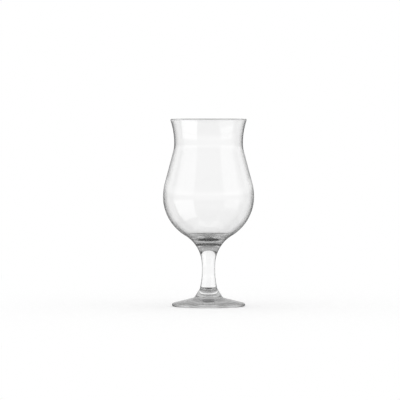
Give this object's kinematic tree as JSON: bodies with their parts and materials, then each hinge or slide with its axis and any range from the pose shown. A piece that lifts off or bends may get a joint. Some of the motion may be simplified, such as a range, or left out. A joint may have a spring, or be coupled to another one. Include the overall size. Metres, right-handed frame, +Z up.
{
  "type": "poco grande glass",
  "caption": "Clear stemmed cocktail glass with a flared lip, drawn-in neck and round belly, on a waisted solid stem and a broad sloping foot; it holds a long mixed drink.",
  "frame": {"origin": "middle of the flat ring that the foot rests on, on the table", "axes": "+Z up along the glass's axis; the glass is round, so X and Y can be any two level directions"},
  "size_m": [0.0864, 0.0864, 0.178],
  "materials": {
    "clear_glass": "clear and smooth, fire polished"
  },
  "bodies": {
    "root": {"bowl": "clear_glass", "stem": "clear_glass", "foot": "clear_glass"}
  },
  "joints": []
}
